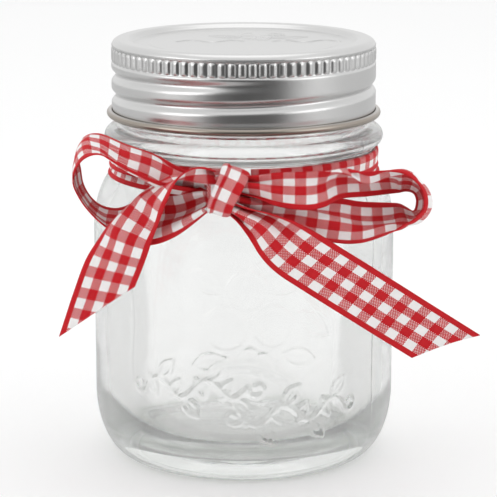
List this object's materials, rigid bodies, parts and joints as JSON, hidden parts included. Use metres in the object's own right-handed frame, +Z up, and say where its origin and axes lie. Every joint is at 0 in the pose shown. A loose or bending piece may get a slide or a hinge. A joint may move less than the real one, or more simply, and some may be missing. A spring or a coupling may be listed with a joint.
{
  "type": "preserving jar",
  "caption": "Small clear glass jar with a one-piece metal screw cap and a gingham ribbon tied in a bow round its neck.",
  "frame": {"origin": "centre of the ring that the jar stands on, on the surface it stands on", "axes": "+Z up along the jar's axis; -Y towards the viewer, the side of the jar that the bow is on; +X to the viewer's right"},
  "size_m": [0.1075, 0.092, 0.1143],
  "materials": {
    "glass": "clear, smooth, faint green at the base",
    "cap_metal": "satin silver lacquered tinplate",
    "seal": "matt off-white",
    "ribbon": "red and white woven gingham"
  },
  "bodies": {
    "jar_and_bow": {"jar": "glass", "ribbon_neck_band": "ribbon", "ribbon_knot": "ribbon", "ribbon_left_loop": "ribbon", "ribbon_right_loop": "ribbon", "ribbon_left_tail": "ribbon", "ribbon_right_tail": "ribbon"},
    "seal": {"gasket": "seal"},
    "screw_cap": {"cap": "cap_metal"}
  },
  "joints": [
    {"name": "lid_lift", "type": "slide", "parent": "jar_and_bow", "child": "seal", "axis": [0, 0, 1], "range_m": [0, 0.02063]},
    {"name": "lid_turn", "type": "hinge", "parent": "seal", "child": "screw_cap", "pos_m": [0, 0, 0.114], "axis": [0, 0, 1], "range_deg": [0, 1350]}
  ],
  "couplings": [
    {"joint": "lid_lift", "follows": "lid_turn", "m_per_rad": 0.00087535}
  ]
}
